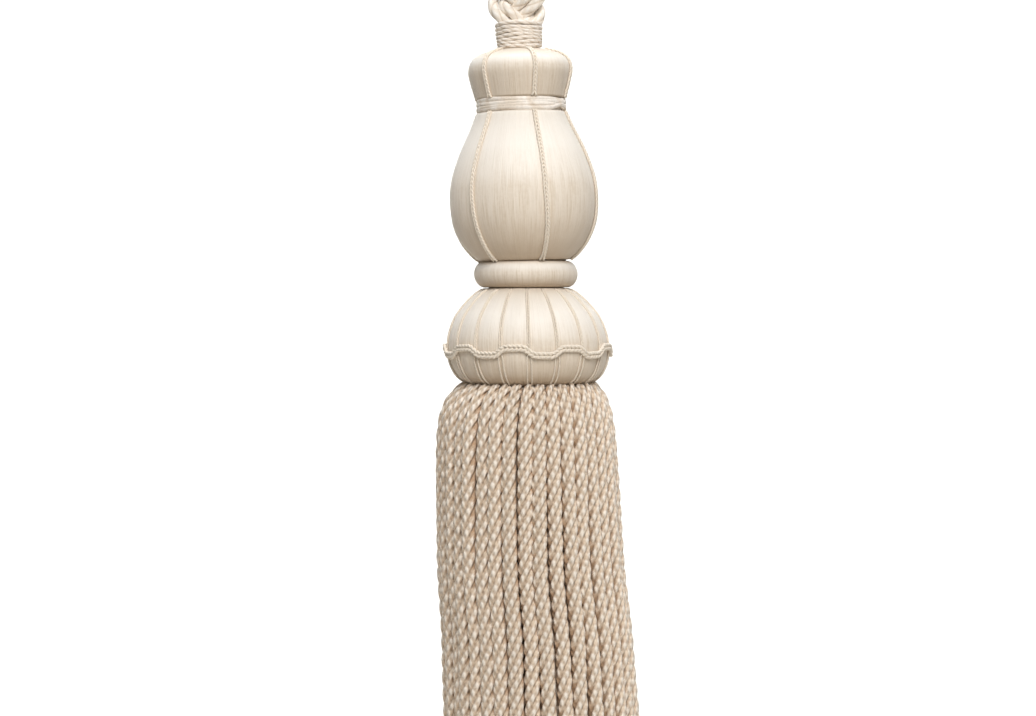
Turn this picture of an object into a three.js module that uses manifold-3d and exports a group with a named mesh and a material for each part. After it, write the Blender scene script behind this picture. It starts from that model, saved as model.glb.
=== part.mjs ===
// A large curtain tassel on a plaited hanging cord, in millimetres, +Z up.
// The origin is where a hook bears inside the top of the hanging loop. Everything hangs below it:
// the loop, its upper whipping, the plait, the neck whipping, a vase mould covered with laid thread,
// a wound ring, a dome mould with couched cords, and a skirt of bullion cords.
import * as THREE from "three";
import { mergeVertices } from "three/addons/utils/BufferGeometryUtils.js";
import Module from "manifold-3d";

const wasm = await Module();
wasm.setup();

// Driving dimensions. Heights are measured from the top of the head, which is level 0.
const seatGap = 0.3; // between pieces that bear on each other
const neckRadius = 8.9; // over the neck whipping
const neckHeight = 10;
const plaitHeight = 40;
const plaitCordDiameter = 4.2;
const stemRadius = 6.8; // of the plait inside the whippings
const loopWhippingHeight = 7;
const waistTop = -18.9; // the tie band sits between these two levels
const waistBottom = -24.3;
const bandRadius = 17.3;
const vaseBottom = -81.4;
const ringBottom = -92;
const ringRadius = 20.1;
const domeTop = ringBottom - seatGap;
const domeBottom = -129.6;
const skirtTop = domeBottom - seatGap;
const skirtLength = 175;
const headingDepth = 5; // the band that the bullions are sewn to, hidden under the dome
const rootFall = 2.6; // from the top of the heading to the root of a bullion

// Outlines of the two turned moulds, as level and radius, from the top down.
const collarOutline = [
  { level: 0, radius: 10.2 },
  { level: -1.5, radius: 15.4 },
  { level: -3.9, radius: 18.8 },
  { level: -7.7, radius: 20 },
  { level: -12.5, radius: 19.1 },
  { level: waistTop, radius: 17.3 },
];
const bulbOutline = [
  { level: waistBottom, radius: 17.4 },
  { level: -30, radius: 19.8 },
  { level: -40, radius: 24.6 },
  { level: -50, radius: 27.9 },
  { level: -58.5, radius: 28.7 },
  { level: -67, radius: 27.7 },
  { level: -74, radius: 24.7 },
  { level: -79, radius: 20.8 },
  { level: vaseBottom, radius: 17.8 },
];
const domeOutline = [
  { level: domeTop, radius: 16.6 },
  { level: -94.6, radius: 20.4 },
  { level: -98.5, radius: 24.5 },
  { level: -104, radius: 28.6 },
  { level: -111, radius: 31.1 },
  { level: -117, radius: 31.4 },
  { level: -122, radius: 30.4 },
  { level: -126.5, radius: 27.9 },
  { level: domeBottom, radius: 23.6 },
];

// Fine couched cords
const meridianCount = 6; // double cords down the vase
const meridianTurn = 16.5; // degrees to the right of the front, to the first of them
const meridianWidth = 2.6;
const meridianThickness = 1.2;
const domeCordCount = 18; // raised lines down the dome
const domeCordHeight = 0.5;
const domeCordTurn = 0.5; // degrees to the right of the front, to the first of them
const waveCordThickness = 1.2;
const waveCordWidth = 2.4;
const waveLevel = -116.4;
const waveHeight = 1.5; // half the step between the upper and lower stretches
const waveSteepness = 2.4;

// Rings of bullions, from the outside in. The last is a single one on the axis.
const bullionRings = [
  { count: 36, rootRadius: 24.4, hangRadius: 31.8, flare: 4.8, steps: 8 },
  { count: 29, rootRadius: 18.9, hangRadius: 25.6, flare: 3.9, steps: 4 },
  { count: 21, rootRadius: 13.6, hangRadius: 19.4, flare: 3, steps: 3 },
  { count: 14, rootRadius: 8.6, hangRadius: 13.2, flare: 2, steps: 3 },
  { count: 7, rootRadius: 4, hangRadius: 7, flare: 1, steps: 3 },
  { count: 1, rootRadius: 0, hangRadius: 0.4, flare: 0, steps: 3 },
];
const shoulderFall = 5.5; // how quickly a bullion turns down over the shoulder
const stepGrowth = 2.4; // how much longer its steps grow towards the hem
const recess = 0.6; // how far back the most recessed bullion of a ring lies
const turnUnevenness = 0.5; // degrees that one is off its even place, either way
const lengthUnevenness = 2; // by which one is longer or shorter
const skirtLean = 4; // how far the skirt drifts to +X at its hem
const bullionWide = 4.5; // a four-sided bullion, parted from its neighbours
const bullionDeep = 5.4;
const tipLength = 4; // over which a bullion narrows to its end
const tipShare = 0.5; // of its section that is left there

// The hanging loop: three cords side by side, folded over the hook
const loopSink = 3; // how far the plait's stem reaches up into the upper whipping
const loopBase = neckHeight + plaitHeight + loopSink;
const loopTopRise = 35.8; // of the cords' centre line, from the foot of the loop
const loopHalfWidth = 10.4; // at the widest, on the centre line
const bearingLevel = loopBase + loopTopRise - plaitCordDiameter / 2;

const colours = {
  cord: 0xe6d8c3,
  thread: 0xefe5d3,
  band: 0xe8dac6,
  gimp: 0xf0e2cd,
  bullion: 0xd9c9b2,
};

const hanging = new THREE.Group();
hanging.position.z = -bearingLevel;

function degrees(angle) {
  return (angle * Math.PI) / 180;
}

function addPiece(name, geometry, colour, roughness = 0.75) {
  const finish = new THREE.MeshStandardMaterial({ color: colour, roughness, metalness: 0 });
  const mesh = new THREE.Mesh(geometry, finish);
  mesh.name = name;
  hanging.add(mesh);
  return mesh;
}

// Closed geometry to a manifold solid and back
function toSolid(geometry) {
  const bare = geometry.clone();
  bare.deleteAttribute("normal");
  bare.deleteAttribute("uv");
  const merged = mergeVertices(bare, 1e-4);
  return new wasm.Manifold(
    new wasm.Mesh({
      numProp: 3,
      vertProperties: new Float32Array(merged.attributes.position.array),
      triVerts: new Uint32Array(merged.index.array),
    }),
  );
}

function toGeometry(solid) {
  const mesh = solid.getMesh();
  const geometry = new THREE.BufferGeometry();
  geometry.setAttribute("position", new THREE.BufferAttribute(mesh.vertProperties, mesh.numProp));
  geometry.setIndex(new THREE.BufferAttribute(mesh.triVerts, 1));
  geometry.computeVertexNormals();
  return geometry;
}

function joined(geometries) {
  return toGeometry(geometries.map(toSolid).reduce((whole, next) => whole.add(next)));
}

// A smooth line of radius and level through an outline's rows
function outlineCurve(rows) {
  return new THREE.SplineCurve(rows.map((row) => new THREE.Vector2(row.radius, row.level)));
}

// Turns a profile of radius and level about Z. It runs from the bottom up, as the faces need.
function turned(profile, segments) {
  return new THREE.LatheGeometry(profile, segments).rotateX(Math.PI / 2);
}

function onAxis(level) {
  return new THREE.Vector2(0, level);
}

// A plain round disc or stem between two levels
function disc(radius, from, to, segments = 20) {
  const rim = [new THREE.Vector2(radius, from), new THREE.Vector2(radius, to)];
  return turned([onAxis(from), ...rim, onAxis(to)], segments);
}

// A round or flat section with the given number of corners
function sectionShape(width, depth, corners) {
  const points = [];
  for (let i = 0; i < corners; i += 1) {
    const angle = (2 * Math.PI * i) / corners;
    points.push(new THREE.Vector2((width / 2) * Math.cos(angle), (depth / 2) * Math.sin(angle)));
  }
  return new THREE.Shape(points);
}

function along(shape, path, steps) {
  return new THREE.ExtrudeGeometry(shape, { steps, extrudePath: path });
}

// A curve given by a function of its share from 0 to 1, sampled evenly in that share
class ShareCurve extends THREE.Curve {
  constructor(place) {
    super();
    this.place = place;
  }

  getPoint(share, target = new THREE.Vector3()) {
    return target.copy(this.place(share));
  }

  getPointAt(share, target) {
    return this.getPoint(share, target);
  }

  getTangentAt(share, target) {
    return this.getTangent(share, target);
  }
}

// A sleeve of wound cord: turns stacked on each other round a plain hole
function whipping(bottom, height, outerRadius, holeRadius, turns) {
  const pitch = height / turns;
  const grooveRadius = outerRadius - pitch * 0.3;
  const profile = [new THREE.Vector2(holeRadius, bottom)];
  for (let turn = 0; turn < turns; turn += 1) {
    profile.push(new THREE.Vector2(grooveRadius, bottom + turn * pitch));
    profile.push(new THREE.Vector2(outerRadius, bottom + (turn + 0.5) * pitch));
  }
  profile.push(new THREE.Vector2(grooveRadius, bottom + height));
  profile.push(new THREE.Vector2(holeRadius, bottom + height));
  profile.push(new THREE.Vector2(holeRadius, bottom));
  return turned(profile, 24);
}

// One loop cord's centre line, from inside the upper whipping up over the hook and back. Across is in
// half widths of its legs. The share is how far the cord has moved from the whipping's packed
// bundle (0) to lying side by side with the others on the hook (1).
const widestAcross = 1.92;
const loopRoute = [
  { across: -1, share: 0, rise: 0 },
  { across: -1, share: 0, rise: 3 },
  { across: -1.02, share: 0.06, rise: 6.5 },
  { across: -1.25, share: 0.35, rise: 11 },
  { across: -1.6, share: 0.68, rise: 16 },
  { across: -1.86, share: 0.92, rise: 21 },
  { across: -widestAcross, share: 1, rise: 26 },
  { across: -1.64, share: 1, rise: 30.6 },
  { across: -0.9, share: 1, rise: 34.4 },
  { across: 0, share: 1, rise: loopTopRise },
  { across: 0.9, share: 1, rise: 34.4 },
  { across: 1.64, share: 1, rise: 30.6 },
  { across: widestAcross, share: 1, rise: 26 },
  { across: 1.86, share: 0.92, rise: 21 },
  { across: 1.6, share: 0.68, rise: 16 },
  { across: 1.25, share: 0.35, rise: 11 },
  { across: 1.02, share: 0.06, rise: 6.5 },
  { across: 1, share: 0, rise: 3 },
  { across: 1, share: 0, rise: 0 },
];
const loopCords = [
  { legX: 2.25, legY: -3.9, topY: -4.6 },
  { legX: 4.5, legY: 0, topY: 0 },
  { legX: 2.25, legY: 3.9, topY: 4.6 },
];

function hangingLoop() {
  loopCords.forEach((cord, index) => {
    const points = loopRoute.map((row) => {
      const packed = row.across * cord.legX;
      const spread = (row.across / widestAcross) * loopHalfWidth;
      const x = packed + (spread - packed) * row.share;
      const y = cord.legY + (cord.topY - cord.legY) * row.share;
      return new THREE.Vector3(x, y, loopBase + row.rise);
    });
    const route = new THREE.CatmullRomCurve3(points);
    const section = sectionShape(plaitCordDiameter, plaitCordDiameter, 8);
    addPiece(`loop_cord_${index + 1}`, along(section, route, 20), colours.cord);
  });
}

// The plait: three pairs of cords, fused where they cross, on the two round stems that the
// whippings bind
function plait() {
  const halfSwing = 7.6;
  const halfDepth = 2.8;
  const pitch = 36;
  const startPhase = -0.5;
  const pinch = 0.55; // how far the whippings draw the pairs together
  const pinchReach = 7;
  const pairSpacing = 0.96; // of a cord's diameter, so that the two of a pair are fused
  const overrun = 3; // past each whipping's face, before the ends are cut flat
  const stemReach = 4; // of each stem into the plait
  const bottom = neckHeight - overrun;
  const top = neckHeight + plaitHeight + overrun;
  const pieces = [];
  for (let strand = 0; strand < 3; strand += 1) {
    for (const side of [-1, 1]) {
      const route = new ShareCurve((share) => {
        const level = bottom + (top - bottom) * share;
        const fromEnd = Math.min(level - neckHeight, neckHeight + plaitHeight - level, pinchReach);
        const spread = pinch + (1 - pinch) * Math.sin((Math.PI / 2) * (Math.max(fromEnd, 0) / pinchReach));
        const phase = startPhase + (2 * Math.PI * level) / pitch + (2 * Math.PI * strand) / 3;
        const slope = (halfSwing * spread * Math.cos(phase) * 2 * Math.PI) / pitch;
        const across = (side * plaitCordDiameter * pairSpacing) / 2 / Math.hypot(1, slope);
        return new THREE.Vector3(
          halfSwing * spread * Math.sin(phase) + across,
          -halfDepth * spread * Math.sin(2 * phase),
          level - across * slope,
        );
      });
      const section = sectionShape(plaitCordDiameter, plaitCordDiameter, 6);
      pieces.push(along(section, route, 16));
    }
  }
  const between = disc(2 * halfSwing, neckHeight + seatGap, neckHeight + plaitHeight - seatGap);
  const crossed = toSolid(joined(pieces)).intersect(toSolid(between));
  const footStem = disc(stemRadius, seatGap, neckHeight + stemReach);
  const headStem = disc(stemRadius, neckHeight + plaitHeight - stemReach, loopBase - seatGap);
  addPiece("plait", toGeometry(crossed.add(toSolid(footStem)).add(toSolid(headStem))), colours.cord);
}

function whippings() {
  const hole = stemRadius + seatGap + 0.05; // clear of the stem's corners too
  const neck = whipping(seatGap, neckHeight - seatGap, neckRadius, hole, 6);
  const upper = whipping(neckHeight + plaitHeight, loopWhippingHeight, neckRadius, hole, 4);
  addPiece("neck_whipping", neck, colours.cord);
  addPiece("loop_whipping", upper, colours.cord);
}

// The vase: a flared collar, a waist for the tie band, and a pear-shaped bulb
function vase() {
  const waistRadius = 15.3;
  const collar = outlineCurve(collarOutline).getPoints(7);
  const bulb = outlineCurve(bulbOutline).getPoints(12);
  const waist = [new THREE.Vector2(waistRadius, waistTop), new THREE.Vector2(waistRadius, waistBottom)];
  const profile = [onAxis(0), ...collar, ...waist, ...bulb, onAxis(vaseBottom)].reverse();
  addPiece("vase_mould", turned(profile, 32), colours.thread, 0.55);
}

// The tie band: four turns of flat thread in the waist
function tieBand() {
  const bottom = waistBottom + seatGap;
  const height = waistTop - waistBottom - 2 * seatGap;
  addPiece("tie_band", whipping(bottom, height, bandRadius, 15.6, 4), colours.band, 0.5);
}

// Double cords down the collar and the bulb, set a gap outside the mould
function meridians() {
  const stretches = [
    { name: "collar_cord", rows: collarOutline, steps: 6 },
    { name: "bulb_cord", rows: bulbOutline, steps: 11 },
  ];
  const section = sectionShape(meridianWidth, meridianThickness, 4);
  const standOff = seatGap + meridianThickness / 2;
  const endTrim = 0.04; // share of the outline left bare at each end
  for (const stretch of stretches) {
    const outline = outlineCurve(stretch.rows);
    const route = new ShareCurve((share) => {
      const kept = endTrim + (1 - 2 * endTrim) * share;
      const point = outline.getPoint(kept);
      const heading = outline.getTangent(kept);
      return new THREE.Vector3(point.x - heading.y * standOff, 0, point.y + heading.x * standOff);
    });
    for (let i = 0; i < meridianCount; i += 1) {
      const turn = degrees(-90 + meridianTurn + (360 * i) / meridianCount);
      const cord = addPiece(`${stretch.name}_${i + 1}`, along(section, route, stretch.steps), colours.gimp);
      cord.rotation.z = turn;
    }
  }
}

function woundRing() {
  const top = vaseBottom - seatGap;
  const middle = (top + ringBottom) / 2;
  const halfHeight = (top - ringBottom) / 2;
  const faceRadius = 16.4;
  const profile = [onAxis(ringBottom)];
  const step = 30;
  for (let angle = -90; angle <= 90; angle += step) {
    profile.push(new THREE.Vector2(
      faceRadius + (ringRadius - faceRadius) * Math.cos(degrees(angle)),
      middle + halfHeight * Math.sin(degrees(angle)),
    ));
  }
  profile.push(onAxis(top));
  addPiece("wound_ring", turned(profile, 36), colours.thread, 0.55);
}

// Where an angle about Z lies among the dome's sectors: a whole number is at a couched cord
function sectorAt(angle) {
  const firstCord = degrees(-90 + domeCordTurn);
  return ((angle - firstCord) / (2 * Math.PI)) * domeCordCount;
}

// The dome, with a raised line wherever a cord is couched down it
function dome() {
  const outline = outlineCurve(domeOutline).getPoints(9);
  const facesPerSector = 4;
  const profile = [onAxis(domeTop), ...outline, onAxis(domeBottom)].reverse();
  const geometry = turned(profile, domeCordCount * facesPerSector);
  geometry.rotateZ(degrees(domeCordTurn));
  const place = geometry.attributes.position;
  for (let i = 0; i < place.count; i += 1) {
    const radius = Math.hypot(place.getX(i), place.getY(i));
    const sector = sectorAt(Math.atan2(place.getY(i), place.getX(i)));
    const onCord = Math.abs(sector - Math.round(sector)) < 0.5 / facesPerSector;
    const grown = radius > 1 && onCord ? (radius + domeCordHeight) / radius : 1;
    place.setXY(i, place.getX(i) * grown, place.getY(i) * grown);
  }
  addPiece("dome_mould", geometry, colours.thread, 0.55);
}

// How far up the wave cord lies, from -1 to 1: down in the sector right of the front, up in the next
function waveShare(angle) {
  return Math.max(-1, Math.min(1, -waveSteepness * Math.sin(Math.PI * sectorAt(angle))));
}

// The dome's radius at a level, without its raised lines
function domeRadiusAt(level) {
  const rows = outlineCurve(domeOutline).getPoints(60);
  const below = rows.findIndex((row) => row.y <= level);
  const [a, b] = [rows[below - 1], rows[below]];
  return a.x + ((b.x - a.x) * (level - a.y)) / (b.y - a.y);
}

// The wave cord: a double cord round the dome, up in one sector and down in the next
function waveCord() {
  const steps = domeCordCount * 5;
  const ringSize = 40;
  const geometry = new THREE.TorusGeometry(ringSize, waveCordThickness / 2, 4, steps);
  const place = geometry.attributes.position;
  for (let i = 0; i < place.count; i += 1) {
    const angle = Math.atan2(place.getY(i), place.getX(i));
    const outward = Math.hypot(place.getX(i), place.getY(i)) - ringSize;
    const middle = waveLevel + waveHeight * waveShare(angle);
    const seat = domeRadiusAt(middle) + domeCordHeight + seatGap;
    const radius = seat + waveCordThickness / 2 + outward;
    const rise = (place.getZ(i) * waveCordWidth) / waveCordThickness;
    place.setXYZ(i, radius * Math.cos(angle), radius * Math.sin(angle), middle + rise);
  }
  addPiece("wave_cord", geometry, colours.gimp);
}

// How far a bullion's centre line has dropped at a share of its steps. They are short over the
// shoulder, and the last one is its tip.
function dropAt(share, steps, length) {
  const tipStart = (steps - 1) / steps;
  if (share <= tipStart) {
    return (length - tipLength) * (share / tipStart) ** stepGrowth;
  }
  return length - tipLength * (1 - share) * steps;
}

// Where a bullion hangs: its turn about Z, its length, and its radius and drift to +X at a drop
function bullion(ring, number) {
  const lengthen = lengthUnevenness * (Math.sin(number * 1.7 + ring.count) - 1);
  const length = skirtLength - rootFall + lengthen;
  const aside = degrees(turnUnevenness * Math.sin(number * 2.4));
  const turn = (2 * Math.PI * number) / ring.count + aside;
  const hangRadius = Math.max(ring.hangRadius - recess * ((number * 0.618) % 1), 0);
  return {
    turn,
    length,
    radiusAt: (drop) => ring.rootRadius
      + (hangRadius - ring.rootRadius) * (1 - Math.exp(-drop / shoulderFall))
      + ring.flare * (drop / skirtLength),
    driftAt: (drop) => skirtLean * (drop / skirtLength) ** 2,
  };
}

// One bullion as a four-sided solid, narrowed at its tip
function bullionSolid(ring, number) {
  const shape = bullion(ring, number);
  const root = skirtTop - rootFall;
  const route = new ShareCurve((share) => {
    const drop = dropAt(share, ring.steps, shape.length);
    const drift = shape.driftAt(drop);
    return new THREE.Vector3(
      shape.radiusAt(drop) + drift * Math.cos(shape.turn),
      -drift * Math.sin(shape.turn),
      root - drop,
    );
  });
  const geometry = along(sectionShape(bullionWide, bullionDeep, 4), route, ring.steps);
  const place = geometry.attributes.position;
  const tip = route.getPoint(1);
  for (let i = 0; i < place.count; i += 1) {
    if (place.getZ(i) < tip.z + tipLength / 2) {
      const x = tip.x + (place.getX(i) - tip.x) * tipShare;
      const y = tip.y + (place.getY(i) - tip.y) * tipShare;
      place.setXY(i, x, y);
    }
  }
  return geometry.rotateZ(shape.turn);
}

// The skirt: a heading with every bullion fused into it at its root
function skirt() {
  const headingRadius = bullionRings[0].rootRadius + bullionDeep / 2;
  const pieces = [disc(headingRadius, skirtTop - headingDepth, skirtTop, 36)];
  for (const ring of bullionRings) {
    for (let number = 0; number < ring.count; number += 1) {
      pieces.push(bullionSolid(ring, number));
    }
  }
  addPiece("skirt", joined(pieces), colours.bullion);
}

hangingLoop();
plait();
whippings();
vase();
tieBand();
meridians();
woundRing();
dome();
waveCord();
skirt();

export default hanging;
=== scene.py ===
import math

import bpy
import numpy as np
from mathutils import Matrix, Vector


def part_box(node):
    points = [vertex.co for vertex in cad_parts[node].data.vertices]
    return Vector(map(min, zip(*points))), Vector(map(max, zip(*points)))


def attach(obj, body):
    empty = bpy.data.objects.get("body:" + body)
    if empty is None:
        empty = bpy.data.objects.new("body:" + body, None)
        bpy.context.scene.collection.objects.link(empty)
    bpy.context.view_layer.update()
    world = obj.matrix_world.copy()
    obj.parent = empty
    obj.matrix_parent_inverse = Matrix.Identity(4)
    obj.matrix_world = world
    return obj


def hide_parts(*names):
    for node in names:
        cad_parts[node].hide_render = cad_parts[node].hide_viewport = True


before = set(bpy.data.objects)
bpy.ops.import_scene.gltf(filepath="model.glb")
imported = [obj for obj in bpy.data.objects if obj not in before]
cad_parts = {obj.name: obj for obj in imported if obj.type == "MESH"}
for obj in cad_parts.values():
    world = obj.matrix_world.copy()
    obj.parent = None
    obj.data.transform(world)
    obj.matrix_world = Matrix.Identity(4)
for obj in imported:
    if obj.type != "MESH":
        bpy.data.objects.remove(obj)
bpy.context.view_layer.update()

# Shapes below are worked out in millimetres, with heights counted from the top of the head (level 0).
mm = 0.001
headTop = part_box("vase_mould")[1][2]
neckTop = (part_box("neck_whipping")[1][2] - headTop) / mm
loopFoot = (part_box("loop_cord_2")[0][2] - headTop) / mm
plaitTop = (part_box("loop_whipping")[0][2] - headTop) / mm
loopWhippingTop = (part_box("loop_whipping")[1][2] - headTop) / mm
skirtTop = (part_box("skirt")[1][2] - headTop) / mm
front = -math.pi / 2  # the direction of -Y about the axis


def toFrame(points):
    return np.asarray(points, float) * mm + (0, 0, headTop)


# Camera: level with the top of the dome, looking a little down, and rolled as the photo is
cameraFit = dict(lens=78.9, distance=885, aside=-3.95, level=-95.5, lookLevel=-119.4, roll=1.6)


def makeCamera():
    data = bpy.data.cameras.new("camera")
    data.lens = cameraFit["lens"]
    data.clip_start, data.clip_end = 0.05, 40
    camera = bpy.data.objects.new("camera", data)
    bpy.context.scene.collection.objects.link(camera)
    eye = Vector(toFrame((cameraFit["aside"], -cameraFit["distance"], cameraFit["level"])))
    target = Vector(toFrame((cameraFit["aside"], 0, cameraFit["lookLevel"])))
    turn = (target - eye).to_track_quat("-Z", "Y").to_matrix().to_4x4()
    roll = Matrix.Rotation(math.radians(-cameraFit["roll"]), 4, "Z")
    camera.matrix_world = Matrix.Translation(eye) @ turn @ roll
    bpy.context.scene.camera = camera
    print("camera")


# Material building: small helpers that wire one node at a time
class Finish:
    def __init__(self, name):
        self.material = bpy.data.materials.new(name)
        self.material.use_nodes = True
        self.tree = self.material.node_tree
        self.shader = self.tree.nodes["Principled BSDF"]

    def node(self, kind, **settings):
        made = self.tree.nodes.new(kind)
        for key, value in settings.items():
            setattr(made, key, value)
        return made

    def feed(self, socket, value):
        if isinstance(value, bpy.types.NodeSocket):
            self.tree.links.new(value, socket)
        else:
            socket.default_value = value

    def calc(self, operation, *values):
        made = self.node("ShaderNodeMath", operation=operation)
        for socket, value in zip(made.inputs, values):
            self.feed(socket, value)
        return made.outputs[0]

    def mixColour(self, share, low, high):
        made = self.node("ShaderNodeMix", data_type="RGBA")
        self.feed(made.inputs[0], share)
        self.feed(made.inputs[6], low)
        self.feed(made.inputs[7], high)
        return made.outputs[2]

    def spread(self, value, low, high, toLow=0.0, toHigh=1.0):
        made = self.node("ShaderNodeMapRange", clamp=True)
        for socket, number in zip(made.inputs, (value, low, high, toLow, toHigh)):
            self.feed(socket, number)
        return made.outputs[0]

    def noise(self, vector, scale, detail=2.0, roughness=0.5):
        made = self.node("ShaderNodeTexNoise")
        self.feed(made.inputs["Vector"], vector)
        made.inputs["Scale"].default_value = scale
        made.inputs["Detail"].default_value = detail
        made.inputs["Roughness"].default_value = roughness
        return made.outputs["Fac"]

    def vector(self, x, y, z):
        made = self.node("ShaderNodeCombineXYZ")
        for socket, value in zip(made.inputs, (x, y, z)):
            self.feed(socket, value)
        return made.outputs[0]

    def parts(self, vector):
        made = self.node("ShaderNodeSeparateXYZ")
        self.feed(made.inputs[0], vector)
        return made.outputs

    def place(self):
        return self.node("ShaderNodeTexCoord").outputs["Object"]

    def lay(self):
        return self.parts(self.node("ShaderNodeUVMap", uv_map="lay").outputs["UV"])

    def attribute(self, name):
        return self.node("ShaderNodeAttribute", attribute_name=name).outputs["Fac"]

    def bump(self, height, distance, strength=1.0):
        made = self.node("ShaderNodeBump")
        made.inputs["Strength"].default_value = strength
        made.inputs["Distance"].default_value = distance
        self.feed(made.inputs["Height"], height)
        self.feed(self.shader.inputs["Normal"], made.outputs[0])

    def surface(self, roughness, sheen=0.0, sheenTint=(1, 1, 1, 1), specular=0.3):
        self.shader.inputs["Roughness"].default_value = roughness
        self.shader.inputs["Sheen Weight"].default_value = sheen
        self.shader.inputs["Sheen Tint"].default_value = sheenTint
        self.shader.inputs["Sheen Roughness"].default_value = 0.5
        self.shader.inputs["Specular IOR Level"].default_value = specular


# Colours are linear
# Painted highlight colour for threads that face a little up
paintedHighlightIvory = (0.98, 0.92, 0.84, 1)
ivory = (0.90, 0.80, 0.68, 1)
# Darker streak colour of the laid thread, also used as painted shade on tops
ivoryShade = (0.74, 0.62, 0.48, 1)
# Painted shade colour for threads that face down
paintedUndersideShadeIvory = (0.52, 0.39, 0.26, 1)
# Painted shade for the sides of cords that face a neighbour and for the gaps between bullions
nookPaintedShadeBrown = (0.50, 0.32, 0.19, 1)


# Laid thread: fine lines that run down the mould, closer together than the eye can count. The shares say how
# much each size of line tells in the colour, and they add up to 1
laidThread = dict(threads=105, strands=34, patches=8, grit=900, depth=0.00016,
                  threadShare=0.46, strandShare=0.24, patchShare=0.18, gritShare=0.12)


def threadFinish():
    laid = laidThread
    f = Finish("laidThread")
    x, y, z = f.parts(f.place())
    radius = f.calc("SQRT", f.calc("ADD", f.calc("MULTIPLY", x, x), f.calc("MULTIPLY", y, y)))
    safe = f.calc("MAXIMUM", radius, 0.001)
    across, deep = f.calc("DIVIDE", x, safe), f.calc("DIVIDE", y, safe)
    thread = f.noise(f.vector(across, deep, z), laid["threads"], roughness=0.6)
    strand = f.noise(f.vector(across, deep, f.calc("MULTIPLY", z, 1.6)), laid["strands"])
    patch = f.noise(f.vector(across, deep, f.calc("MULTIPLY", z, 4)), laid["patches"])
    grit = f.noise(f.place(), laid["grit"])
    tone = f.calc("MULTIPLY", thread, laid["threadShare"])
    for line, share in ((strand, "strandShare"), (patch, "patchShare"), (grit, "gritShare")):
        tone = f.calc("ADD", tone, f.calc("MULTIPLY", line, laid[share]))
    colour = f.mixColour(f.spread(tone, 0.38, 0.54), ivoryShade, ivory)
    # Painted light by facing: threads that face a little up are paler (painted highlight), those that face
    # down deeper (painted shade), those on top greyed (painted shade)
    facing = f.parts(f.node("ShaderNodeNewGeometry").outputs["Normal"])[2]
    colour = f.mixColour(f.spread(facing, 0.1, 0.42, 0, 0.7), colour, paintedHighlightIvory)
    colour = f.mixColour(f.spread(facing, 0.6, 0.95, 0, 0.8), colour, ivoryShade)
    colour = f.mixColour(f.spread(facing, -0.7, 0.02, 0.75, 0), colour, paintedUndersideShadeIvory)
    f.feed(f.shader.inputs["Base Color"], colour)
    f.bump(f.calc("ADD", thread, f.calc("MULTIPLY", strand, 0.5)), laid["depth"])
    f.surface(0.45, sheen=0.2, specular=0.4)
    return f.material


# Cord: the lay counts plies round the cord and millimetres along it; each ply shows its own yarns as short
# slanting grains. The nook attribute is low where a neighbour presses against the cord, and there the colour
# takes painted shade. A cord's look gives its colours, the length of a grain in millimetres and its slant,
# and the depths of plies and grains. Its light colour is a painted highlight on the crowns of plies and
# grains, and its groove colour is painted shade in the grooves
yarnNoise = dict(uneven=160, fluff=1300)  # how close the noise is, per metre


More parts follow.
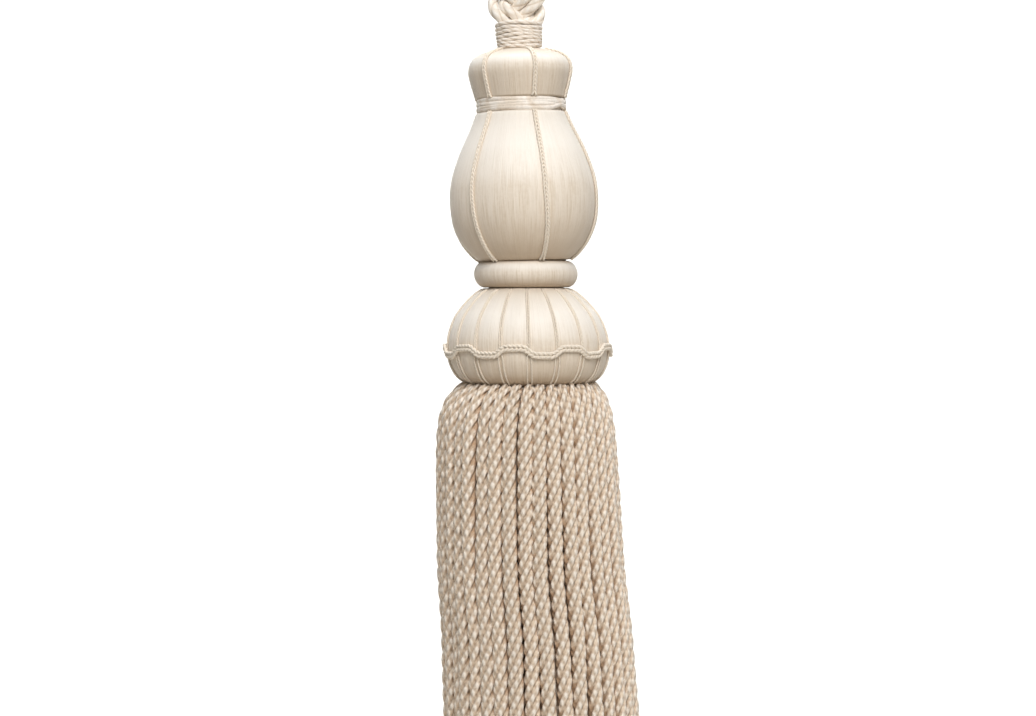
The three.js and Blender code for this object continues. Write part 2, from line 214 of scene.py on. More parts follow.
def cordFinish(name, light, dark, groove, grain, slant, plyDepth, grainDepth, step=0.25, roughness=0.55,
               bead=(0.2, 0.9), beadPower=1.0, beading=0.45, unevenness=0.0, between=False):
    f = Finish(name)
    turns, along, _ = f.lay()
    ply = f.calc("ROUND", turns)
    across = f.calc("MULTIPLY", f.calc("SUBTRACT", turns, ply), 2)
    lobe = f.calc("SUBTRACT", 1, f.calc("MULTIPLY", across, across))
    count = f.calc("ADD", f.calc("DIVIDE", along, grain), f.calc("MULTIPLY", across, slant))
    count = f.calc("ADD", count, f.calc("MULTIPLY", ply, step))
    count = f.calc("ADD", count, f.calc("MULTIPLY", f.noise(f.place(), yarnNoise["uneven"], 1), unevenness))
    grainWave = f.calc("COSINE", f.calc("MULTIPLY", count, 2 * math.pi))
    yarn = f.calc("ADD", 1 - beading, f.calc("MULTIPLY", grainWave, beading))
    stroke = f.calc("MULTIPLY", f.calc("POWER", f.calc("MAXIMUM", lobe, 0), 0.6), yarn)
    crown = f.calc("MULTIPLY", f.calc("POWER", f.calc("MAXIMUM", lobe, 0), beadPower), yarn)
    fluff = f.noise(f.place(), yarnNoise["fluff"], 2)
    height = f.calc("ADD", f.calc("MULTIPLY", lobe, plyDepth), f.calc("MULTIPLY", stroke, grainDepth))
    if between:
        # Duller grains bridge the grooves, half a step on from the grains of the plies; between them the
        # grooves keep the groove colour, painted shade
        aside = f.calc("MULTIPLY", f.calc("SUBTRACT", f.calc("FRACT", turns), 0.5), 2)
        count = f.calc("ADD", f.calc("DIVIDE", along, grain), f.calc("MULTIPLY", aside, slant))
        count = f.calc("ADD", count, f.calc("MULTIPLY", f.calc("FLOOR", turns), step))
        grainWave = f.calc("COSINE", f.calc("MULTIPLY", f.calc("ADD", count, 0.5), 2 * math.pi))
        bridge = f.calc("MULTIPLY", f.calc("SUBTRACT", 1, f.calc("MULTIPLY", aside, aside)),
                        f.calc("ADD", 0.62, f.calc("MULTIPLY", grainWave, 0.38)))
        body = f.mixColour(f.spread(bridge, 0.1, 0.6), groove, dark)
        # Painted highlight on the crowns of plies and grains
        colour = f.mixColour(f.spread(crown, *bead), body, light)
        height = f.calc("ADD", height, f.calc("MULTIPLY", bridge, 0.6 * grainDepth))
    else:
        # Painted highlight on the crowns of plies and grains
        colour = f.mixColour(f.spread(crown, *bead), dark, light)
        # Painted shade in the grooves between plies
        colour = f.mixColour(f.spread(lobe, 0.0, 0.4, 0.85, 0), colour, groove)
    # Painted shade where a neighbour presses against the cord
    colour = f.mixColour(f.attribute("nook"), nookPaintedShadeBrown, colour)
    toned = f.node("ShaderNodeHueSaturation")
    mottle = f.spread(fluff, 0.3, 0.7, -0.06, 0.06)
    f.feed(toned.inputs["Value"], f.calc("ADD", f.attribute("tone"), mottle))
    f.feed(toned.inputs["Color"], colour)
    f.feed(f.shader.inputs["Base Color"], toned.outputs[0])
    f.bump(f.calc("ADD", height, f.calc("MULTIPLY", fluff, 0.05)), mm)
    f.surface(roughness, sheen=0.15, specular=0.35)
    return f.material


def makePiece(name, points, faces, material, replaces=(), lay=None, nook=None, tone=None):
    mesh = bpy.data.meshes.new(name)
    corners = np.concatenate([f.ravel() for f in faces]).astype(np.int32)
    sizes = np.concatenate([np.full(len(f), f.shape[1]) for f in faces])
    starts = np.concatenate([[0], np.cumsum(sizes)[:-1]]).astype(np.int32)
    mesh.vertices.add(len(points))
    mesh.vertices.foreach_set("co", toFrame(points).astype(np.float32).ravel())
    mesh.loops.add(len(corners))
    mesh.loops.foreach_set("vertex_index", corners)
    mesh.polygons.add(len(sizes))
    mesh.polygons.foreach_set("loop_start", starts)
    mesh.update(calc_edges=True)
    mesh.polygons.foreach_set("use_smooth", np.ones(len(sizes), bool))
    if lay is not None:
        layer = mesh.uv_layers.new(name="lay")
        layer.data.foreach_set("uv", np.concatenate(lay).astype(np.float32).ravel())
    for label, values in (("nook", nook), ("tone", tone)):
        if values is not None:
            attribute = mesh.attributes.new(label, "FLOAT", "POINT")
            attribute.data.foreach_set("value", values.astype(np.float32))
    mesh.validate()
    mesh.materials.append(material)
    piece = bpy.data.objects.new(name, mesh)
    bpy.context.scene.collection.objects.link(piece)
    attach(piece, "root")
    if replaces:
        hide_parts(*replaces)
    return piece


# The ring and the dome sit a little aslant on the cords, lower on their right
aslant = math.tan(math.radians(1.4))


def settle(points):
    return points - np.stack([0 * points[..., 0], 0 * points[..., 0], aslant * points[..., 0]], -1)


# Tubes gathered into one mesh. A cord's dictionary gives its plies, lay (1 falls to the right), pitch,
# radius and groove. The rows of corners follow the twist, so that every groove stays sharp
# Painted shade on the sides of cords that face a neighbour, reaching further out in the grooves
nookShade = dict(groove=0.38, least=0.12)  # how much sooner grooves darken, and the least that is kept


class Bundle:
    def __init__(self):
        self.points, self.quads, self.caps = [], [], {}
        self.quadLay, self.capLay = [], {}
        self.nooks, self.tones, self.count = [], [], 0

    def addCord(self, path, reference, cord, corners, phase=0.0, tone=1.0, nook=None, squash=(1, 1),
                closed=False, roundEnd=0.0, girth=1.0):
        path = np.asarray(path, float)
        rings = len(path)
        tangent = np.roll(path, -1, 0) - np.roll(path, 1, 0) if closed else np.gradient(path, axis=0)
        tangent /= np.linalg.norm(tangent, axis=1, keepdims=True)
        reference = np.broadcast_to(np.asarray(reference, float), path.shape)
        side = reference - (reference * tangent).sum(1, keepdims=True) * tangent
        side /= np.linalg.norm(side, axis=1, keepdims=True)
        up = np.cross(tangent, side)
        step = np.linalg.norm(np.diff(path, axis=0), axis=1)
        along = np.concatenate([[0], np.cumsum(step)])
        turns = cord["plies"] * np.arange(corners + 1) / corners
        lobe = (1 - (2 * (turns[:-1] - np.round(turns[:-1]))) ** 2) ** cord.get("arch", 0.5)
        lobed = cord["radius"] * (1 - cord["groove"] + cord["groove"] * lobe)
        radii = lobed[None, :] * (np.ones(rings) * girth)[:, None]
        if roundEnd:
            left = np.clip((along[-1] - along) / roundEnd, 0, 1)
            radii = radii * np.sqrt(np.clip(1 - (1 - left) ** 2, 0.004, 1))[:, None]
        twist = cord["lay"] * 2 * math.pi * along / cord["pitch"]
        angle = 2 * math.pi * np.arange(corners)[None, :] / corners - twist[:, None] + phase
        out = np.cos(angle)[..., None] * side[:, None, :] * squash[0]
        out = out + np.sin(angle)[..., None] * up[:, None, :] * squash[1]
        ring = np.arange(rings if closed else rings - 1)[:, None] * corners
        nextRing = (ring + corners) % (rings * corners)
        column = np.arange(corners)[None, :]
        nextColumn = (column + 1) % corners
        quads = np.stack([ring + column, ring + nextColumn, nextRing + nextColumn, nextRing + column], -1)
        alongNext = np.append(along, along[-1] + step[-1])[1:len(ring) + 1]
        near, far = [np.stack(np.broadcast_arrays(turns[None, :], rows[:, None]), -1)
                     for rows in (along[:len(ring)], alongNext)]
        self.quads.append(quads.reshape(-1, 4) + self.count)
        quadLay = np.stack([near[:, :-1], near[:, 1:], far[:, 1:], far[:, :-1]], 2)
        self.quadLay.append(quadLay.reshape(-1, 2))
        if not closed:
            for rim in (np.arange(corners)[::-1], (rings - 1) * corners + np.arange(corners)):
                self.caps.setdefault(corners, []).append(rim + self.count)
                self.capLay.setdefault(corners, []).append(np.full((corners, 2), 0.25))
        self.points.append((path[:, None, :] + radii[..., None] * out).reshape(-1, 3))
        # Painted shade: sides turned towards neighbours or the axis take a low nook value
        shade = np.ones(angle.shape)
        if nook is not None:
            rise = np.sin(angle) - nookShade["groove"] * (1 - lobe)
            shade = np.clip((rise - nook[0]) / (nook[1] - nook[0]), nookShade["least"], 1)
        self.nooks.append(shade.ravel())
        self.tones.append(np.full(rings * corners, tone))
        self.count += rings * corners

    def make(self, name, material, replaces=(), settled=False):
        faces = [np.concatenate(self.quads)]
        lay = [np.concatenate(self.quadLay)]
        for corners, rims in self.caps.items():
            faces.append(np.stack(rims))
            lay.append(np.concatenate(self.capLay[corners]))
        points = np.concatenate(self.points)
        return makePiece(name, settle(points) if settled else points, faces, material, replaces, lay,
                         np.concatenate(self.nooks), np.concatenate(self.tones))


# A plain rod inside a winding, so that no gap shows between its turns; the core's tone is darkened as painted
# shade for the gaps
plainRod = dict(plies=0, lay=0, pitch=1, groove=0)
# Tone 0.8 darkens the core: painted shade between the turns
paintedShadeCoreRod = dict(corners=40, tone=0.8)


def addCore(bundle, radius, bottom, top):
    path = [(0, 0, bottom), (0, 0, (bottom + top) / 2), (0, 0, top)]
    bundle.addCord(path, (1, 0, 0), dict(plainRod, radius=radius), **paintedShadeCoreRod)


def pathLengths(path):
    return np.concatenate([[0], np.cumsum(np.linalg.norm(np.diff(path, axis=0), axis=1))])


def smoothCurve(points, count):
    # Catmull-Rom through the points, then even steps along it
    p = np.asarray(points, float)
    p = np.vstack([2 * p[0] - p[1], p, 2 * p[-1] - p[-2]])
    t = np.linspace(0, 1, 24, endpoint=False)[:, None]
    rows = []
    for a, b, c, d in zip(p[:-3], p[1:-2], p[2:-1], p[3:]):
        rows.append(b + 0.5 * t * (c - a + t * (2 * a - 5 * b + 4 * c - d + t * (3 * b - a - 3 * c + d))))
    rows = np.vstack(rows + [p[-2:-1]])
    length = pathLengths(rows)
    even = np.linspace(0, length[-1], count)
    return np.stack([np.interp(even, length, rows[:, k]) for k in range(3)], 1)


# Hanging loop: three cords side by side over the hook. Rows: across in half widths of the legs, the share
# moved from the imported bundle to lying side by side, and the rise from the foot
hangingLoop = dict(diameter=4.2, halfWidth=10.4, widest=1.92, rings=150, corners=18)
loopRoute = [
    (-1, 0, 0), (-1, 0, 3), (-1.02, 0.06, 6.5), (-1.25, 0.35, 11), (-1.6, 0.68, 16),
    (-1.86, 0.92, 21), (-1.92, 1, 26), (-1.64, 1, 30.6), (-0.9, 1, 34.4), (0, 1, 35.8),
    (0.9, 1, 34.4), (1.64, 1, 30.6), (1.92, 1, 26), (1.86, 0.92, 21), (1.6, 0.68, 16),
    (1.25, 0.35, 11), (1.02, 0.06, 6.5), (1, 0, 3), (1, 0, 0),
]
loopLegs = [(2.25, -3.9, -4.6), (4.5, 0, 0), (2.25, 3.9, 4.6)]  # leg x, leg y and y on the hook
softCord = dict(plies=3, lay=-1, pitch=17, radius=2.1, groove=0.15)
# In every cord look the light colour is a painted highlight on crowns and the groove colour painted shade
softCordLook = dict(light=(0.98, 0.92, 0.84, 1), dark=(0.89, 0.80, 0.69, 1), groove=(0.70, 0.58, 0.45, 1),
                    grain=2.2, slant=0.7, plyDepth=0.08, grainDepth=0.06)


def makeLoop(material):
    for number, (legX, legY, topY) in enumerate(loopLegs, 1):
        route = []
        for across, share, rise in loopRoute:
            packed = across * legX
            spread = across / hangingLoop["widest"] * hangingLoop["halfWidth"]
            x, y = packed + (spread - packed) * share, legY + (topY - legY) * share
            route.append((x, y, loopFoot + rise))
        path = smoothCurve(route, hangingLoop["rings"])
        bundle = Bundle()
        bundle.addCord(path, (0, 1, 0), softCord, hangingLoop["corners"], phase=0.8 * number)
        piece = bundle.make(f"loopCord{number}", material, [f"loop_cord_{number}"])
    print("hanging loop")


# Plait: three pairs of soft cords crossing over each other
plaitShape = dict(swing=7.7, depth=2.8, pitch=36, phase=-0.5, pinch=0.55, pinchReach=7, apart=4.2,
                  overrun=3, rings=130, corners=24)


def makePlait(material):
    shape = plaitShape
    bundle = Bundle()
    level = np.linspace(neckTop - shape["overrun"], plaitTop + shape["overrun"], shape["rings"])
    fromEnd = np.clip(np.minimum(level - neckTop, plaitTop - level), 0, shape["pinchReach"])
    spread = shape["pinch"] + (1 - shape["pinch"]) * np.sin(math.pi / 2 * fromEnd / shape["pinchReach"])
    for strand in range(3):
        for side in (-1, 1):
            phase = shape["phase"] + 2 * math.pi * level / shape["pitch"] + 2 * math.pi * strand / 3
            slope = shape["swing"] * spread * np.cos(phase) * 2 * math.pi / shape["pitch"]
            across = side * shape["apart"] / 2 / np.hypot(1, slope)
            path = np.stack([shape["swing"] * spread * np.sin(phase) + across,
                             -shape["depth"] * spread * np.sin(2 * phase), level - across * slope], 1)
            bundle.addCord(path, (0, 1, 0), softCord, shape["corners"], phase=strand + 0.5 * side,
                           tone=1 + 0.03 * side)
    bundle.make("plait", material, ["plait"])
    print("plait")


# Whippings: one two-ply cord wound round and round, with its ends tucked under the turns
whippingCord = dict(plies=2, lay=-1, pitch=8, radius=0.86, groove=0.22)
whippingLook = dict(light=(0.98, 0.91, 0.83, 1), dark=(0.89, 0.79, 0.68, 1), groove=(0.76, 0.63, 0.50, 1),
                    grain=1.6, slant=0.9, plyDepth=0.1, grainDepth=0.06, step=0.5)
whippingShape = dict(rings=120, corners=12, start=2.4, tuck=1.1, rideUp=1.1, rideWidth=0.75, rideSide=0.3)
neckWinding = dict(bottom=-0.4, top=neckTop + 0.9, turns=7, lowRadius=8.75, highRadius=9.4, slack=1.0)
loopWinding = dict(bottom=plaitTop, top=loopWhippingTop, turns=4.5, lowRadius=8.9, highRadius=8.9, slack=0.4)


def makeWhipping(name, node, material, bottom, top, turns, lowRadius, highRadius, slack):
    bundle = Bundle()
    shape, thick = whippingShape, whippingCord["radius"]
    share = np.linspace(0, 1, int(turns * shape["rings"]))
    angle = front + 2 * math.pi * turns * share + shape["start"]
    tuck = np.clip(1 - share * turns * 4, 0, 1) + np.clip(1 - (1 - share) * turns * 4, 0, 1)
    radius = lowRadius + (highRadius - lowRadius) * share - thick - shape["tuck"] * tuck
    radius = radius + 0.1 * np.sin(5 * angle + 7 * share)
    wobble = 0.25 * np.sin(2 * angle + 9 * share) + 0.5 * share ** 3 * np.sin(angle - front + 2.6)
    # The top turns ride up at the front
    offFront = np.mod(angle - front + shape["rideSide"] + math.pi, 2 * math.pi) - math.pi
    wobble = wobble + shape["rideUp"] * share ** 6 * np.exp(-(offFront / shape["rideWidth"]) ** 2)
    level = bottom + thick + (top - bottom - 2 * thick) * share + slack * wobble
    path = np.stack([radius * np.cos(angle), radius * np.sin(angle), level], 1)
    bundle.addCord(path, (0, 0, 1), whippingCord, shape["corners"])
    addCore(bundle, lowRadius - 2 * thick + 0.6, bottom + 0.1, top - 0.5)
    bundle.make(name, material, [node])
    print("whipping", name)


# Turned moulds: rows of level and radius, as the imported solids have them
collarRows = [(0, 10.2), (-1.5, 15.4), (-3.9, 18.8), (-7.7, 20), (-12.5, 19.1), (-18.9, 17.3)]
bulbRows = [(-24.3, 17.4), (-30, 19.8), (-40, 24.6), (-50, 27.9), (-58.5, 28.7), (-67, 27.7),
            (-74, 24.7), (-79, 20.8), (-81.4, 17.8)]
domeRows = [(-92.3, 16.6), (-94.6, 20.4), (-98.5, 24.5), (-104, 28.6), (-111, 31.1), (-117, 31.4),
            (-122, 30.4), (-126.5, 27.9), (-129.6, 23.6)]


def outline(rows, count):
    line = smoothCurve([(radius, 0, level) for level, radius in rows], count)
    return line[:, 0], line[:, 2]


def makeTurned(name, radius, level, relief, material, replaces, around=360, settled=False):
    # relief(angle, radius) gives the radius at each point, so that panels and grooves can be raised
    angle = 2 * math.pi * np.arange(around) / around
    grown = np.broadcast_to(relief(angle[None, :], radius[:, None]), (len(radius), around))
    height = np.broadcast_to(level[:, None], grown.shape)
    points = np.stack([grown * np.cos(angle), grown * np.sin(angle), height], -1)
    ring, column = np.arange(len(radius) - 1)[:, None] * around, np.arange(around)
    nextRing, nextColumn = ring + around, (column + 1) % around
    quads = np.stack([ring + column, nextRing + column, nextRing + nextColumn, ring + nextColumn], -1)
    bottom = (len(radius) - 1) * around + column[::-1]
    points = points.reshape(-1, 3)
    faces = [quads.reshape(-1, 4), np.stack([column, bottom])]
    return makePiece(name, settle(points) if settled else points, faces, material, replaces)


# Distance from the nearest of evenly spaced lines about the axis, in turns of the spacing
def fromLine(angle, count, first):
    share = (angle - first) / (2 * math.pi) * count
    return share - np.round(share)


# Vase: collar, waist and bulb, with a shallow valley under each double cord. Its stem runs into the ring
vaseShape = dict(cords=6, turn=16.5, valley=0.12, valleyWidth=0.05, swell=0.22, waist=16.2,
                 waistLevels=(-19, -20.5, -22.5, -24.2), stem=15.8, stemLevels=(-81.6, -84), around=300)


def makeVase(material):
    collarRadius, collarLevel = outline(collarRows, 32)
    bulbRadius, bulbLevel = outline(bulbRows, 66)
    shape = vaseShape
    waist = np.full(len(shape["waistLevels"]), shape["waist"])
    stem = np.full(len(shape["stemLevels"]), shape["stem"])
    radius = np.concatenate([[4, 8], collarRadius, waist, bulbRadius, stem])
    level = np.concatenate([[0, 0], collarLevel, shape["waistLevels"], bulbLevel, shape["stemLevels"]])

    def panels(angle, radius):
        share = fromLine(angle, shape["cords"], front + math.radians(shape["turn"]))
        valley = shape["valley"] * np.exp(-(share / shape["valleyWidth"]) ** 2)
        return radius - valley + shape["swell"] * np.cos(2 * math.pi * (share + 0.5)) * radius / 28

    makeTurned("vase", radius, level, panels, material, ["vase_mould"], around=shape["around"])
    print("vase")


# Double cords on the vase: two fine cords of opposite twist lie side by side, like a chain. They drift a
# little to the right low on the bulb, and their lower ends part
gimpCord = dict(plies=2, lay=1, pitch=3.2, radius=0.55, groove=0.4)
gimpLook = dict(light=ivory, dark=(0.86, 0.76, 0.63, 1), groove=(0.74, 0.61, 0.47, 1),
                grain=0.9, slant=0.7, plyDepth=0.06, grainDepth=0.04, step=0.5)
gimpShape = dict(apart=0.47, sink=0.3, step=0.36, corners=10, drift=3.5, driftFrom=-55, driftOver=26,
                 parting=0.7, partShare=0.05)
gimpRuns = [("collarCord", "collar_cord_", collarRows), ("bulbCord", "bulb_cord_", bulbRows)]


def makeGimps(material):
    shape = gimpShape
    for stem, node, rows in gimpRuns:
        radius, level = outline(rows, 60)
        line = np.stack([radius, 0 * radius, level], 1)
        line = smoothCurve(line, int(pathLengths(line)[-1] / shape["step"]))
        heading = np.gradient(line, axis=0)
        heading /= np.linalg.norm(heading, axis=1, keepdims=True)
        outward = np.stack([-heading[:, 2], 0 * heading[:, 0], heading[:, 0]], 1)
        seat = line + outward * (gimpCord["radius"] - shape["sink"])
        drift = shape["drift"] * np.clip((shape["driftFrom"] - seat[:, 2]) / shape["driftOver"], 0, 1)
        ending = np.clip((np.linspace(0, 1, len(line)) - (1 - shape["partShare"])) / shape["partShare"], 0, 1)
        for number in range(vaseShape["cords"]):
            bundle = Bundle()
            turn = np.radians(vaseShape["turn"] + 360 / vaseShape["cords"] * number + drift)
            for side in (-1, 1):
                aside = side * shape["apart"] * (1 + shape["parting"] * ending)
                angle = front + turn + aside / seat[:, 0]
                path = np.stack([seat[:, 0] * np.cos(angle), seat[:, 0] * np.sin(angle), seat[:, 2]], 1)
                tangent = (-math.sin(angle[0]), math.cos(angle[0]), 0)
                bundle.addCord(path, tangent, dict(gimpCord, lay=side), shape["corners"])
            bundle.make(f"{stem}{number + 1}", material, [f"{node}{number + 1}"])
    print("double cords on the vase")


# Tie band: flat bundles of thread round the waist, one of them crossing the others at the right front
tieBand = dict(radius=16.3, width=2.1, thickness=2.25, cross=64, crossWidth=0.3, around=160, corners=12,
               levels=(-19.5, -20.9, -22.2, -23.5), tones=(1, 0.95, 1.02, 0.93))
bandLook = dict(light=(0.97, 0.89, 0.80, 1), dark=(0.86, 0.75, 0.63, 1), groove=ivoryShade,
                grain=11, slant=0, plyDepth=0, grainDepth=0.02, unevenness=2)


def makeTieBand(material):
    bundle = Bundle()
    angle = np.linspace(0, 2 * math.pi, tieBand["around"], endpoint=False)
    offCross = np.mod(angle - front - math.radians(tieBand["cross"]) + math.pi, 2 * math.pi) - math.pi
    near = np.exp(-(offCross / tieBand["crossWidth"]) ** 2)
    middle = sum(tieBand["levels"]) / len(tieBand["levels"])
    squash = (tieBand["width"] / 2, tieBand["thickness"] / 2)
    for number, level in enumerate(tieBand["levels"]):
        drift = 0.25 * np.sin(angle + 1.3 * number) + 0.2 * np.sin(2 * angle + 2.1 * number)
        drift = drift + 0.1 * np.sin(5 * angle + 3.7 * number)
        height = level + drift + (middle - level) * near * (0.9 if number % 2 else 0.2)
        radius = tieBand["radius"] + 0.45 * near * (number % 2) + 0.1 * np.sin(2 * angle + number)
        path = np.stack([radius * np.cos(angle), radius * np.sin(angle), height], 1)
        bundle.addCord(path, (0, 0, 1), dict(plainRod, radius=1), tieBand["corners"], closed=True,
                       squash=squash, tone=tieBand["tones"][number])
    bundle.make("tieBand", material, ["tie_band"])
    print("tie band")


# Ring: thread wound round and round a hoop
ringShape = dict(bore=5, face=15.9, lines=130, depth=0.04, around=400)


def makeRing(material):
    low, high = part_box("wound_ring")
    top, bottom = (high[2] - headTop) / mm, (low[2] - headTop) / mm
    outer = (high[0] - low[0]) / mm / 2
    swing = np.radians(np.linspace(90, -90, 30))
    radius = ringShape["face"] + (outer - ringShape["face"]) * np.cos(swing)
    level = (top + bottom) / 2 + (top - bottom) / 2 * np.sin(swing)

    def windings(angle, radius):
        thread = ringShape["depth"] * np.sin(angle * ringShape["lines"])
        return radius + thread * (radius > ringShape["bore"])

    bore = [ringShape["bore"]]
    radius, level = np.concatenate([bore, radius, bore]), np.concatenate([[top], level, [bottom]])
    makeTurned("woundRing", radius, level, windings, material, ["wound_ring"],
               around=ringShape["around"], settled=True)
    print("ring")


# Dome: laid thread in sectors, a fine cord at each side of every line, and the wave cord over them
domeShape = dict(sectors=18, turn=0.5, crown=0.16, groove=0.14, grooveWidth=0.045, stem=14.6, foot=(20, 6))
waveShape = dict(level=-116.4, height=1.45, steepness=2.6, apart=1.3, lift=0.15, smooth=23, rings=800)
domeCord = dict(plies=2, lay=1, pitch=2.6, radius=0.36, groove=0.25)
domeCordSeat = dict(aside=0.36, lift=0.12, asideBelow=0.5, liftBelow=0.14, over=3)  # more below the wave
waveCord = dict(plies=2, lay=1, pitch=3.4, radius=0.8, groove=0.3)


def makeDome(material):
    shape = domeShape
    radius, level = outline(domeRows, 64)
    radius = np.concatenate([[shape["stem"]] * 2, radius, shape["foot"]])
    level = np.concatenate([[level[0] + 2.5, level[0] + 0.1], level, [level[-1]] * 2])
    first = front + math.radians(shape["turn"])

    def panels(angle, radius):
        share = fromLine(angle, shape["sectors"], first)
        crown = shape["crown"] * np.cos(math.pi * (1 - 2 * np.abs(share)))
        groove = shape["groove"] * np.exp(-(share / shape["grooveWidth"]) ** 2)
        return radius + (crown - groove) * radius / 31 * (radius > shape["stem"])

    makeTurned("dome", radius, level, panels, material, ["dome_mould"], around=360, settled=True)
    print("dome")


def domeRadius(level):
    radius, rows = outline(domeRows, 200)
    return np.interp(-np.asarray(level), -rows, radius)


def makeDomeCords(material):
    bundle = Bundle()
    place = domeCordSeat
    first = front + math.radians(domeShape["turn"])
    radius, level = outline(domeRows, 96)
    radius, level = radius[2:-2], level[2:-2]
    below = np.clip((waveShape["level"] - level) / place["over"], 0, 1)
    for number in range(domeShape["sectors"]):
        for side in (-1, 1):
            middle = first + 2 * math.pi * number / domeShape["sectors"]
            turn = middle + side * (place["aside"] + place["asideBelow"] * below) / radius
            seat = radius + place["lift"] + place["liftBelow"] * below
            path = np.stack([seat * np.cos(turn), seat * np.sin(turn), level], 1)
            bundle.addCord(path, (-math.sin(middle), math.cos(middle), 0), dict(domeCord, lay=side), 6)
    bundle.make("domeCords", material, settled=True)
    print("fine cords on the dome")


def makeWaveCord(material):
    bundle = Bundle()
    rings = waveShape["rings"]
    angle = np.linspace(0, 2 * math.pi, rings, endpoint=False)
    sector = (angle - front - math.radians(domeShape["turn"])) / (2 * math.pi) * domeShape["sectors"]
    wave = np.clip(-waveShape["steepness"] * np.sin(math.pi * sector), -1, 1)
    kernel = np.hanning(waveShape["smooth"])
    wave = np.convolve(np.tile(wave, 3), kernel / kernel.sum(), "same")[rings:2 * rings]
    uneven = 0.18 * np.sin(3 * angle + 1) + 0.12 * np.sin(8 * angle)
    middle = waveShape["level"] + waveShape["height"] * wave + uneven
    outward = np.stack([np.cos(angle), np.sin(angle), 0 * angle], 1)
    for row in (-1, 1):
        level = middle + row * waveShape["apart"] / 2
        radius = domeRadius(level) + waveCord["radius"] + waveShape["lift"]
        path = np.stack([radius * np.cos(angle), radius * np.sin(angle), level], 1)
        length = pathLengths(path)[-1]
        pitch = length / round(length / waveCord["pitch"])
        bundle.addCord(path, outward, dict(waveCord, lay=-row, pitch=pitch), 8, closed=True)
    bundle.make("waveCord", material, ["wave_cord"], settled=True)
    print("wave cord")


# Skirt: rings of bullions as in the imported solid. Rows: count, root radius, hanging radius, flare, rings
# along the cord, corners round it
bullionRows = [
    (36, 24.3, 31.9, 4.8, 190, 32),
    (29, 18.9, 26.4, 3.9, 100, 16),
    (21, 13.6, 19.4, 3.0, 50, 12),
    (14, 8.6, 13.2, 2.0, 44, 12),
    (7, 4.0, 7.0, 1.0, 40, 12),
    (1, 0.0, 0.4, 0.0, 40, 12),
]
skirtShape = dict(length=175, shoulder=6.5, rootFall=0.2, recess=0.8, uneven=2.0, ripple=0.35, wander=0.2,
                  drift=4.0, frontLean=5.0, upperShift=-2.1, lowerShift=-0.6, shiftFrom=66, shiftTo=102)
bullionCord = dict(plies=4, lay=-1, pitch=25.5, radius=3.06, groove=0.42, arch=0.8, pinch=0.3, pinchReach=5)
bullionTip = dict(reach=4.4, rounding=3.6, rings=(3.6, 2.6, 1.7, 1.0, 0.5, 0.2, 0.0))
# Light colour: painted highlight on the beads of the crowns; groove colour: painted shade in the grooves
bullionLook = dict(light=(0.97, 0.87, 0.755, 1), dark=(0.80, 0.65, 0.50, 1), groove=(0.56, 0.41, 0.28, 1),
                   grain=2.5, slant=0.66, plyDepth=0.1, grainDepth=0.8, roughness=0.45, bead=(0.26, 0.78),
                   beadPower=1.7, beading=0.31, unevenness=0.5, between=True)
# Ranges of painted shade on the bullions' sides; the inner bullions take painted shade nearly all round
outerNook, innerNook = (0.08, 0.3), (0.2, 1.6)  # inner bullions are pressed nearly all round


def bullionPath(row, number):
    count, root, hang, flare, rings = row[:5]
    shape = skirtShape
    length = shape["length"] - shape["rootFall"] + shape["uneven"] * (math.sin(number * 1.7 + count) - 1)
    tip = np.array(bullionTip["rings"])
    drop = np.concatenate([np.linspace(0, length - bullionTip["reach"], rings - len(tip)), length - tip])
    turn = 2 * math.pi * number / count + math.radians(0.3 * math.sin(number * 2.4))
    inner = max(hang - shape["recess"] * (number * 0.618 % 1), 0)
    fall = drop / shape["length"]
    hanging = 1 - np.exp(-drop / 12)
    radius = root + (inner - root) * (1 - np.exp(-drop / shape["shoulder"])) + flare * fall
    radius = radius + shape["ripple"] * hanging * np.sin(drop / 24 + number * 3.3)
    swerve = np.sin(drop / 31 + number * 2.1) + 0.6 * np.sin(drop / 15 + number * 4.7)
    sideways = shape["wander"] * hanging * swerve
    eased = np.clip((drop - shape["shiftFrom"]) / (shape["shiftTo"] - shape["shiftFrom"]), 0, 1)
    shift = shape["upperShift"] + (shape["lowerShift"] - shape["upperShift"]) * eased ** 2 * (3 - 2 * eased)
    shift = shift * (1 - np.exp(-drop / 8)) + shape["drift"] * fall ** 2
    shift = shift - shape["frontLean"] * fall * math.sin(turn) ** 2
    x = radius * math.cos(turn) - sideways * math.sin(turn) + shift
    y = radius * math.sin(turn) + sideways * math.cos(turn)
    return np.stack([x, y, skirtTop - shape["rootFall"] - drop - aslant * root * math.cos(turn)], 1), turn


def makeBullions(name, rows, material):
    bundle = Bundle()
    for row, numbers in rows:
        corners, nook = row[5], outerNook if row is bullionRows[0] else innerNook
        for number in numbers:
            path, turn = bullionPath(row, number)
            fromRoot = path[:, 2] - path[0, 2]
            girth = 1 - bullionCord["pinch"] * np.exp(fromRoot / bullionCord["pinchReach"])
            cord = dict(bullionCord, pitch=bullionCord["pitch"] * (1 + 0.07 * math.sin(number * 5.3)))
            bundle.addCord(path, (-math.sin(turn), math.cos(turn), 0), cord, corners, phase=number * 3.9,
                           tone=1 + 0.06 * math.sin(number * 3.1 + row[0]), girth=girth, nook=nook,
                           roundEnd=bullionTip["rounding"])
    if len(rows) > 1:
        addCore(bundle, bullionRows[0][1] - 1, skirtTop - 4.6, skirtTop - 0.2)
    bundle.make(name, material, ["skirt"])


def makeSkirt(material):
    outer = bullionRows[0]
    third = outer[0] // 3
    for part in range(3):
        numbers = range(part * third, part * third + third)
        makeBullions(f"bullionsOuter{part + 1}", [(outer, numbers)], material)
    makeBullions("bullionsSecond", [(bullionRows[1], range(bullionRows[1][0]))], material)
    makeBullions("bullionsInner", [(row, range(row[0])) for row in bullionRows[2:]], material)
    print("bullion skirt")


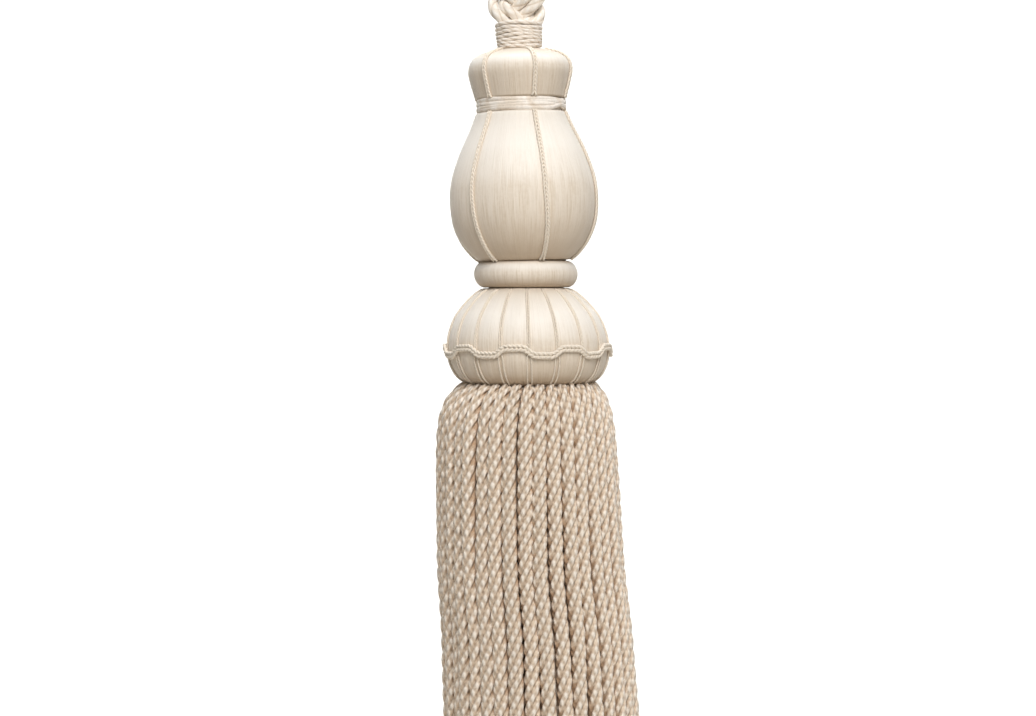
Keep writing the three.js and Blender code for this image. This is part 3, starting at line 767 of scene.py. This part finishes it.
# Floor and backdrop in one sweep, well below the hem
sweep = dict(floor=-365, near=-3200, back=1500, side=780, rise=3200, bend=600, colour=(0.7, 0.67, 0.62, 1))


def makeStage():
    bend = sweep["bend"]
    rows = [(sweep["near"], sweep["floor"])]
    for a in np.radians(np.linspace(0, 90, 24)):
        rows.append((sweep["back"] - bend + bend * math.sin(a), sweep["floor"] + bend * (1 - math.cos(a))))
    rows.append((sweep["back"], sweep["rise"]))
    points = [(x, y, z) for y, z in rows for x in (-sweep["side"], sweep["side"])]
    faces = [(2 * i, 2 * i + 1, 2 * i + 3, 2 * i + 2) for i in range(len(rows) - 1)]
    mesh = bpy.data.meshes.new("stage")
    mesh.from_pydata([tuple(p) for p in toFrame(points)], [], faces)
    mesh.polygons.foreach_set("use_smooth", [True] * len(faces))
    f = Finish("paleFloor")
    f.shader.inputs["Base Color"].default_value = sweep["colour"]
    f.surface(0.9, specular=0.1)
    mesh.materials.append(f.material)
    stage = bpy.data.objects.new("stage", mesh)
    bpy.context.scene.collection.objects.link(stage)
    print("floor and backdrop")


# Soft studio light: name, place and target in millimetres, size in metres, power and colour
lightRows = [
    ("key", (132, -900, 600), (0, 0, -150), 0.6, 11.5, (1, 1, 1)),
    ("backdropLight", (0, 440, 1180), (0, 1500, 500), 1.6, 52, (0.92, 0.96, 1)),
]
worldLight = dict(colour=(1, 0.95, 0.88, 1), strength=0.066)


def makeLights():
    for name, place, target, size, power, colour in lightRows:
        data = bpy.data.lights.new(name, "AREA")
        data.shape, data.size, data.energy, data.color = "SQUARE", size, power, colour
        light = bpy.data.objects.new(name, data)
        bpy.context.scene.collection.objects.link(light)
        light.location = toFrame(place)
        light.rotation_euler = Vector(toFrame(target) - toFrame(place)).to_track_quat("-Z", "Y").to_euler()
    world = bpy.data.worlds.new("studio")
    world.use_nodes = True
    world.node_tree.nodes["Background"].inputs[0].default_value = worldLight["colour"]
    world.node_tree.nodes["Background"].inputs[1].default_value = worldLight["strength"]
    bpy.context.scene.world = world
    bpy.context.scene.view_settings.view_transform = "Standard"
    print("lights")


makeCamera()
cordMaterial = cordFinish("softCord", **softCordLook)
whippingMaterial = cordFinish("whippingCord", **whippingLook)
gimpMaterial = cordFinish("fineGimp", **gimpLook)
bandMaterial = cordFinish("threadBand", **bandLook)
bullionMaterial = cordFinish("bullionYarn", **bullionLook)
threadMaterial = threadFinish()
makeLoop(cordMaterial)
makePlait(cordMaterial)
makeWhipping("neckWhipping", "neck_whipping", whippingMaterial, **neckWinding)
makeWhipping("loopWhipping", "loop_whipping", whippingMaterial, **loopWinding)
makeVase(threadMaterial)
makeTieBand(bandMaterial)
makeGimps(gimpMaterial)
makeRing(threadMaterial)
makeDome(threadMaterial)
makeDomeCords(gimpMaterial)
makeWaveCord(gimpMaterial)
makeSkirt(bullionMaterial)
makeStage()
makeLights()
